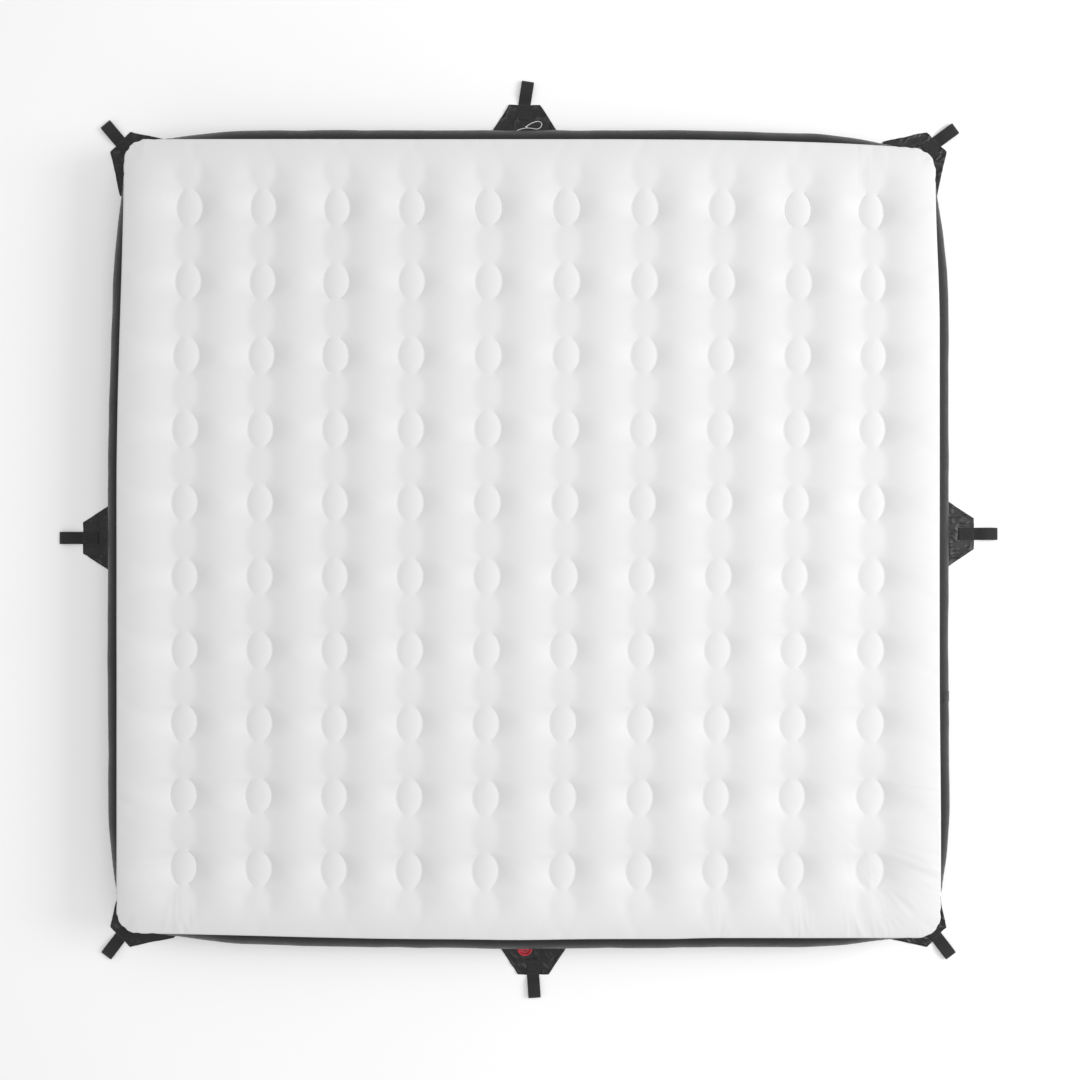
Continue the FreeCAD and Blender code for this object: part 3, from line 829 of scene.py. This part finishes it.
def swollen(x, y, welded, u, v, height):
    """Heights after a cloth simulation under pressure, with the welds and the rim held."""
    scene = bpy.context.scene
    rows, columns = height.shape
    r, c = (np.concatenate([[0], np.arange(2, n - 1, SIM_STEP), [n - 1]]) for n in (rows, columns))
    pick = np.ix_(r, c)
    start = np.stack([x, y, height], axis=-1)[pick]
    work = new_object("cloth_in_work", start.reshape(-1, 3), grid_faces(len(r), len(c), flip=True))
    held = welded[pick]
    held[0, :] = held[-1, :] = held[:, 0] = held[:, -1] = True
    group = work.vertex_groups.new(name="held")
    group.add(np.flatnonzero(held).tolist(), 1.0, "REPLACE")
    cloth = work.modifiers.new("cloth", "CLOTH")
    settings = cloth.settings
    settings.quality = 5
    settings.mass = 0.2
    settings.tension_stiffness = settings.compression_stiffness = 30
    settings.bending_stiffness = 0.3
    settings.vertex_group_mass = "held"
    settings.use_pressure = True
    settings.uniform_pressure_force = 4
    settings.effector_weights.gravity = 0
    settings.shrink_min = -0.003
    cloth.collision_settings.use_collision = False
    cloth.point_cache.frame_start = 1
    cloth.point_cache.frame_end = SIM_FRAMES
    for number in range(1, SIM_FRAMES + 1):
        scene.frame_set(number)
    done = work.evaluated_get(bpy.context.evaluated_depsgraph_get()).to_mesh()
    moved = np.zeros(len(done.vertices) * 3)
    done.vertices.foreach_get("co", moved)
    lift = moved.reshape(len(r), len(c), 3)[:, :, 2] - start[:, :, 2]
    bpy.data.objects.remove(work)
    scene.frame_set(1)
    lift = SIM_CAP * np.tanh(lift / SIM_CAP)
    lift = np.array([np.interp(np.arange(columns), c, line) for line in lift])
    lift = np.array([np.interp(np.arange(rows), r, line) for line in lift.T]).T
    for _ in range(8):
        lift[1:-1] = (lift[:-2] + 2 * lift[1:-1] + lift[2:]) / 4
        lift[:, 1:-1] = (lift[:, :-2] + 2 * lift[:, 1:-1] + lift[:, 2:]) / 4
    apart = np.hypot(u - BEAM_WIDE / 2, np.clip(v - BEAM_LONG / 2, 0, None))
    return height + lift * (1 - np.exp(-((apart / SIM_FADE) ** 2)))


quilt = quilt_grid()
skin = relax(*quilt, rim=-RIM_DROP + SKIN_BASE)
grid_x, grid_y, welded_points, _, from_column, from_row = quilt
skin = swollen(grid_x, grid_y, welded_points, from_column, from_row, skin)
top_cloth(quilt, skin)
wall_cloth()
base_cloth(quilt, skin)
for beam_row in range(WELDS):
    beam_films(beam_row)
seam_tape("top_seam_tape")
seam_tape("bottom_seam_tape")


# ---------- cord on the back tab ----------

CORD = 0.002  # diameter
CORD_Z = 0.0026
CORD_ROUTE = [
    (-0.042, 0.993), (-0.030, 1.001), (-0.017, 1.006), (-0.004, 1.008),
    (0.009, 1.007), (0.021, 1.004), (0.031, 1.010), (0.033, 1.020),
    (0.024, 1.025), (0.013, 1.022), (0.003, 1.0175), (-0.005, 1.0118),
]


def cord_curve(name, bevel):
    curve = bpy.data.curves.new(name, "CURVE")
    curve.dimensions = "3D"
    spline = curve.splines.new("NURBS")
    spline.points.add(len(CORD_ROUTE) - 1)
    for point, (x, y) in zip(spline.points, CORD_ROUTE):
        point.co = (x, y, CORD_Z, 1)
    spline.order_u = 3
    spline.use_endpoint_u = True
    spline.resolution_u = 14
    curve.bevel_depth = bevel
    curve.bevel_resolution = 5
    curve.use_fill_caps = True
    return add_object(name, curve)


def cord_line(count):
    """Points along the cord's line."""
    obj = cord_curve("cord_guide", 0)
    mesh = bpy.data.meshes.new_from_object(obj)
    line = np.array([v.co for v in mesh.vertices])
    bpy.data.objects.remove(obj)
    bpy.data.meshes.remove(mesh)
    return line[np.linspace(0, len(line) - 1, count).astype(int)]


def tube_mesh(name, line, radius, around=10):
    """A tube along a closed or open line of points."""
    line = np.asarray(line, float)
    heading = np.gradient(line, axis=0)
    heading /= np.linalg.norm(heading, axis=1, keepdims=True)
    side = np.cross(heading[0], (0.3, 0.2, 1.0))
    points = []
    for place, ahead in zip(line, heading):
        side = side - ahead * side.dot(ahead)
        side /= np.linalg.norm(side)
        over = np.cross(ahead, side)
        for angle in np.arange(around) * 2 * np.pi / around:
            points.append(place + radius * (side * math.cos(angle) + over * math.sin(angle)))
    return new_object(name, points, tube_faces(len(line), around))


def cord_knot():
    """A small overhand knot where the cord comes back to itself."""
    low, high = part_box("cord_knot")
    centre = (low + high) / 2
    t = np.linspace(0, 2 * np.pi, 120)
    wide = (high.x - low.x) / 2 - CORD * 0.45
    line = np.stack([np.sin(t) + 2 * np.sin(2 * t), np.cos(t) - 2 * np.cos(2 * t), -np.sin(3 * t)], axis=1)
    line = line * (wide / 3, wide / 3, 0.0009)
    line = line + (centre.x, centre.y, low.z + CORD / 2 + 0.0010)
    obj = tube_mesh("cord_knot_wraps", line, CORD * 0.45)
    dress(obj, "white_cord")
    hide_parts("cord_knot")
    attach(obj, "back_tab")
    return obj


def keeper_cord():
    knot = cord_knot()
    obj = cord_curve("keeper_cord_line", CORD / 2)
    dress(obj, "white_cord")
    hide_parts("keeper_cord")
    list(CORD_ROUTE[0])
    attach(obj, "back_tab")


keeper_cord()


# ---------- valve ----------

cap_low, cap_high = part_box("valve_cap")
CAP_RADIUS = 0.0182
CAP_DEPTH = 0.009
GRIP = 0.00065  # height of the ribs round the cap
CAP_CENTRE = Vector(((cap_low.x + cap_high.x) / 2, cap_low.y + CAP_RADIUS, cap_low.z))


def eased(node, width=0.0004):
    """The CAD piece with its sharp edges rounded."""
    source = frame["nodes"][node]
    body = source["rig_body"]
    mesh = source.data.copy()
    obj = add_object(node + "_eased", mesh)
    weld = obj.modifiers.new("weld", "WELD")
    weld.merge_threshold = 0.00001
    bevel = obj.modifiers.new("bevel", "BEVEL")
    bevel.width = width
    bevel.segments = 3
    bevel.limit_method = "ANGLE"
    bevel.angle_limit = math.radians(40)
    bevel.use_clamp_overlap = True
    bevel.harden_normals = True
    mesh.polygons.foreach_set("use_smooth", [True] * len(mesh.polygons))
    dress(obj, SLOTS[node])
    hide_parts(node)
    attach(obj, body)


def cap_grip():
    """Ribs round the cap for the fingers."""
    ribs, steps, rise = 44, 7, 7
    points, faces = [], []
    for k in range(ribs):
        if abs((k / ribs + 0.25) % 1 - 0.5) < 0.11:
            continue
        middle = 2 * math.pi * (k + 0.5) / ribs
        base = len(points)
        for j in range(rise):
            t = j / (rise - 1)
            z = CAP_CENTRE.z + CAP_DEPTH * (0.14 + 0.72 * t)
            tall = GRIP * math.sin(math.pi * t) ** 0.4
            for i in range(steps):
                a = i / (steps - 1)
                r = CAP_RADIUS - 0.0001 + tall * math.sin(math.pi * a)
                turn = middle + (a - 0.5) * 1.1 * math.pi / ribs
                points.append((CAP_CENTRE.x + r * math.cos(turn), CAP_CENTRE.y + r * math.sin(turn), z))
        faces += (grid_faces(rise, steps, flip=True) + base).tolist()
    obj = new_object("cap_grip_ribs", points, faces)
    dress(obj, SLOTS["valve_cap"])
    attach(obj, "valve_cap")


def plug_face():
    """The soft face of the cap's plug, with a raised rim."""
    low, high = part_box("cap_plug")
    centre = (low + high) / 2
    profile = [(0.0004, 0.0003), (0.003, 0.0003), (0.0052, 0.0004), (0.0062, 0.0008)]
    profile += [(0.0070, 0.0009), (0.0076, 0.0005), (0.0078, -0.0006)]
    around = 48
    points = []
    for radius, rise in profile:
        for k in range(around):
            turn = 2 * math.pi * k / around
            x, y = centre.x + radius * math.cos(turn), centre.y + radius * math.sin(turn)
            points.append((x, y, high.z + rise))
    faces = grid_faces(len(profile), around, wrap_columns=True).tolist()
    faces.append(list(range(around)))
    obj = new_object("plug_face", points, faces)
    dress(obj, "valve_black")
    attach(obj, "valve_cap")


SLOTS = {part["node"]: part["material_slot"] for part in frame["record"]["subparts"]}
for valve_node in ["valve_flange", "valve_neck", "valve_keeper", "valve_cap", "cap_plug", "check_flap"]:
    eased(valve_node)
eased("wall_lap_strip", 0.0003)
cap_grip()
plug_face()


# ---------- tabs ----------


class TabFrame:
    """A tab's own directions, taken from its two joints."""

    def __init__(self, name):
        fold = JOINTS[name + "_tab_fold"]
        loop = JOINTS[name + "_loop_fold"]
        up = Vector((0, 0, 1))
        self.name = name
        self.fold = Vector(fold["pos_m"])
        self.out = up.cross(Vector(fold["axis"])).normalized()
        self.side = up.cross(self.out)
        self.along = up.cross(Vector(loop["axis"])).normalized()
        self.across = up.cross(self.along)
        self.tip = Vector(loop["pos_m"]) - self.along * LOOP_AXIS_OUT
        self.tip.z = 0.0
        self.fold.z = 0.0
        self.length = (self.tip - self.fold).dot(self.out)
        self.corner = "_" in name
        self.half_tip = (CORNER_TIP if self.corner else SIDE_TIP) / 2
        self.from_seam = self.fold_distance()
        self.seed = 40 + TAB_NAMES.index(name)

    def fold_distance(self):
        """From the seam outwards to the fold line."""
        if not self.corner:
            seam = HALF_X if abs(self.out.x) > 0.5 else HALF_Y
            return abs(self.fold.dot(self.out)) - seam
        x = math.copysign(HALF_X - CORNER, self.fold.x)
        y = math.copysign(HALF_Y - CORNER, self.fold.y)
        return (self.fold - Vector((x, y, 0))).length - CORNER

    def at(self, out, side, height):
        """A point a distance past the fold line and to its side."""
        place = self.fold + self.out * out + self.side * side
        return (place.x, place.y, height)

    def on_webbing(self, out, side, height):
        """A point a distance past the tab's tip along the webbing."""
        place = self.tip + self.along * out + self.across * side
        return (place.x, place.y, height)


LOOP_AXIS_OUT = 0.0025  # from a tab's tip to its loop's hinge
FLARE = math.tan(math.radians(33))  # a tab's side edges
CORNER_TIP, SIDE_TIP = 0.068, 0.076  # breadth of the tabs at the tip
CORNER_FLARE = 0.019  # how much further the corner tabs widen
CLOTH = 0.0011  # thickness of the tabs' cloth
HEM = 0.007  # breadth of the turned edge
UNDER_PAD = 0.032  # how far a tab's cloth runs in under the pad, from the seam


def slab(name, top, thickness, uv=None):
    """A closed sheet: a grid of points for its upper face, and the same lowered for its lower one."""
    rows, columns = top.shape[:2]
    upper = top.reshape(-1, 3)
    lower = upper.copy()
    lower[:, 2] -= np.asarray(thickness).reshape(-1) if np.ndim(thickness) else thickness
    count = rows * columns
    faces = [tuple(f) for f in grid_faces(rows, columns)]
    faces += [tuple(count + i for i in reversed(f)) for f in faces]
    rim = list(range(columns))
    rim += [r * columns + columns - 1 for r in range(1, rows)]
    rim += [(rows - 1) * columns + c for c in range(columns - 2, -1, -1)]
    rim += [r * columns for r in range(rows - 2, 0, -1)]
    for i, j in zip(rim, rim[1:] + rim[:1]):
        faces.append((i, j, count + j, count + i))
    both = None if uv is None else np.concatenate([uv, uv])
    return new_object(name, np.concatenate([upper, lower]), faces, both)


def tab_height(tab, out, side, half):
    """The upper face of a tab: creased cloth, flat under its webbing, with a turned edge."""
    crumple = creases(out * 0.8, side, 0.021, tab.seed, 3.5) - 0.25
    crumple = 0.0022 * crumple + 0.0011 * noise(out, side * 1.7, 0.011, tab.seed + 9)
    crumple = crumple + 0.0016 * (creases(out + side * 0.6, side - out, 0.033, tab.seed + 20, 7))
    lean = tab.across.dot(tab.out)
    off = np.abs(side + lean * (tab.length - out))
    webbed = (1 - smooth((off - 0.015) / 0.007)) * smooth((out - tab.length + 0.046) / 0.008)
    free = (1 - webbed) * smooth((tab.length + 0.001 - out) / 0.004 + 0.3)
    to_edge = np.minimum(half - np.abs(side), tab.length - out)
    hem = 0.0006 * (1 - smooth((to_edge - HEM) / 0.0015))
    free = free * (1 - pressed(tab, out, side))
    base = 0.0014 + hem * free
    return np.clip(base + np.clip(crumple, -0.0006, None) * free, CLOTH + 0.0002, 0.0062)


def pressed(tab, out, side):
    """From 0 to 1, how far something that lies on the tab keeps its cloth flat."""
    x = tab.fold.x + tab.out.x * out + tab.side.x * side
    y = tab.fold.y + tab.out.y * out + tab.side.y * side
    if tab.name == "front":
        return 1 - smooth((np.hypot(x - CAP_CENTRE.x, y - CAP_CENTRE.y) - 0.021) / 0.008)
    if tab.name == "back":
        line = [np.hypot(x - px, y - py) for px, py, _ in cord_line(40)]
        return 1 - smooth((np.min(line, axis=0) - 0.005) / 0.006)
    return np.zeros(np.shape(x))


def tab_cloth(tab):
    rows, columns = 64, 84
    start = -(tab.from_seam + UNDER_PAD)
    out = np.linspace(start, tab.length, rows)[:, None] * np.ones((1, columns))
    half = tab.half_tip + FLARE * (tab.length - out)
    past = CORNER_FLARE if tab.corner else 0
    half = np.minimum(half, tab.half_tip + FLARE * (tab.length + tab.from_seam + past))
    share = np.linspace(-1, 1, columns)[None, :]
    wave = 0.0012 * noise(out * 1.0, share * 0.05, 0.03, tab.seed + 3)
    side = share * (half + wave)
    out = out + 0.0012 * noise(side, out, 0.025, tab.seed + 4) * smooth(out / tab.length)
    height = tab_height(tab, out, side, half)
    under = smooth(-(out + max(0.004, tab.from_seam - 0.028)) / 0.01)
    height = height * (1 - under) + 0.0014 * under
    points = np.array([[tab.at(o, s, h) for o, s, h in zip(*row)] for row in zip(out, side, height)])
    obj = slab(tab.name + "_tab_cloth", points, CLOTH)
    dress(obj, "tab_fabric")
    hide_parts(tab.name + "_tab", "tab_hems")
    tab.at(-0.006, 0, 0)
    tab.at(0.006, 0, 0)
    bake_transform(obj)


# ---------- webbing ----------

WEB_HALF = 0.015  # half its breadth
WEB_THICK = 0.0014
TAIL = 0.038  # length of the sewn end
TAIL_Z = 0.0023  # height of its middle
STITCH_LONG, STITCH_WIDE = 0.026, 0.022  # the sewn box
STITCH, STITCH_GAP = 0.0021, 0.0010
THREAD = 0.00033  # radius


def webbing_path(tab):
    """The band's line seen from its side, from the sewn tail, out, round and back under."""
    lift = 0.0001 * (tab.seed % 5)
    knots = [
        (-TAIL, TAIL_Z), (-0.020, TAIL_Z), (-0.002, 0.0024), (0.006, 0.0036),
        (0.016, 0.0068 + lift), (0.027, 0.0088 + lift), (0.040, 0.0092), (0.051, 0.0090),
        (0.0563, 0.0076), (0.0573, 0.0050), (0.0560, 0.0024), (0.051, 0.0009),
        (0.038, 0.0008), (0.022, 0.0008), (0.006, 0.0008),
    ]
    knots = np.array(knots)
    along = np.concatenate([[0], np.cumsum(np.hypot(*np.diff(knots, axis=0).T))])
    steps = np.linspace(0, along[-1], 110)
    fine = np.stack([np.interp(steps, along, knots[:, k]) for k in (0, 1)], axis=1)
    for _ in range(12):
        fine[1:-1] = (fine[:-2] + 2 * fine[1:-1] + fine[2:]) / 4
    return fine, steps


def webbing(tab):
    path, steps = webbing_path(tab)
    turn = np.gradient(path, axis=0)
    turn /= np.linalg.norm(turn, axis=1, keepdims=True)
    normal = np.stack([-turn[:, 1], turn[:, 0]], axis=1)
    around = 26
    angle = np.arange(around) * 2 * np.pi / around
    wide = np.sign(np.cos(angle)) * np.abs(np.cos(angle)) ** 0.35 * WEB_HALF
    thick = np.sign(np.sin(angle)) * np.abs(np.sin(angle)) ** 0.6 * WEB_THICK / 2
    points, uv = [], []
    for (out, up), (nx, nz), s in zip(path, normal, steps):
        free = float(smooth(np.array((s - TAIL) / 0.02)))
        curl = 0.0004 * free * math.sin(s * 160 + tab.seed)
        for side, lift in zip(wide, thick):
            cup = curl * (side / WEB_HALF) ** 2
            height = max(up + nz * lift + cup, 0.0001)
            points.append(tab.on_webbing(out + nx * lift, side, height))
            uv.append((s, side))
    obj = new_object(tab.name + "_webbing", points, tube_faces(len(path), around), uv)
    dress(obj, "webbing")
    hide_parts(tab.name + "_webbing_tail", tab.name + "_loop")
    start = tab.on_webbing(LOOP_AXIS_OUT - 0.0015, 0, 0)
    end = tab.on_webbing(LOOP_AXIS_OUT + 0.002, 0, 0)
    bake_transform(obj)


def stitch_row(points):
    """Places and headings of the stitches along a line of points."""
    found = []
    for (x0, y0), (x1, y1) in zip(points, points[1:]):
        run = math.hypot(x1 - x0, y1 - y0)
        count = max(1, round(run / (STITCH + STITCH_GAP)))
        for k in range(count):
            t = (k + 0.5) / count
            found.append((x0 + (x1 - x0) * t, y0 + (y1 - y0) * t, math.atan2(y1 - y0, x1 - x0)))
    return found


def stitch_mesh(name, stitches, place):
    """One mesh of small thread humps that dip into the cloth at both ends."""
    rings, around = 7, 6
    points, faces = [], []
    for x, y, heading in stitches:
        c, s = math.cos(heading), math.sin(heading)
        base = len(points)
        for k in range(rings):
            t = k / (rings - 1) * 2 - 1
            thick = THREAD * math.sqrt(max(1 - t**6, 0.05))
            rise = THREAD * (1.1 - 1.3 * t * t)
            for j in range(around):
                a = 2 * math.pi * j / around
                px, py = t * STITCH / 2, thick * math.cos(a)
                points.append(place(x + px * c - py * s, y + px * s + py * c, rise + thick * math.sin(a)))
        faces += tube_faces(rings, around, base)
    return new_object(name, points, faces)


def webbing_stitches(tab):
    """A sewn box with a cross, and a bar of close stitches at each end."""
    middle = -(TAIL - 0.0038) / 2
    x0, x1 = middle - STITCH_LONG / 2, middle + STITCH_LONG / 2
    y = STITCH_WIDE / 2
    box = [(x0, -y), (x1, -y), (x1, y), (x0, y), (x0, -y)]
    stitches = stitch_row(box) + stitch_row([(x0, -y), (x1, y)]) + stitch_row([(x0, y), (x1, -y)])
    for end in (x0 - 0.0022, x1 + 0.0022):
        stitches += [(end, v, 0.25) for v in np.arange(-y, y + 0.0005, 0.0011)]
    top = TAIL_Z + WEB_THICK / 2
    obj = stitch_mesh(tab.name + "_thread", stitches, lambda a, b, up: tab.on_webbing(a, b, top + up))
    dress(obj, "thread")
    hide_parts(tab.name + "_stitching")
    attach(obj, tab.name + "_tab")


for tab_name in TAB_NAMES:
    this_tab = TabFrame(tab_name)
    tab_cloth(this_tab)
    webbing(this_tab)
    webbing_stitches(this_tab)


# ---------- what keeps its CAD shape ----------


def paint_cad_nodes():
    for node, slot in SLOTS.items():
        obj = frame["nodes"][node]
        obj.data.materials.clear()
        obj.data.materials.append(MATERIALS[slot])


paint_cad_nodes()
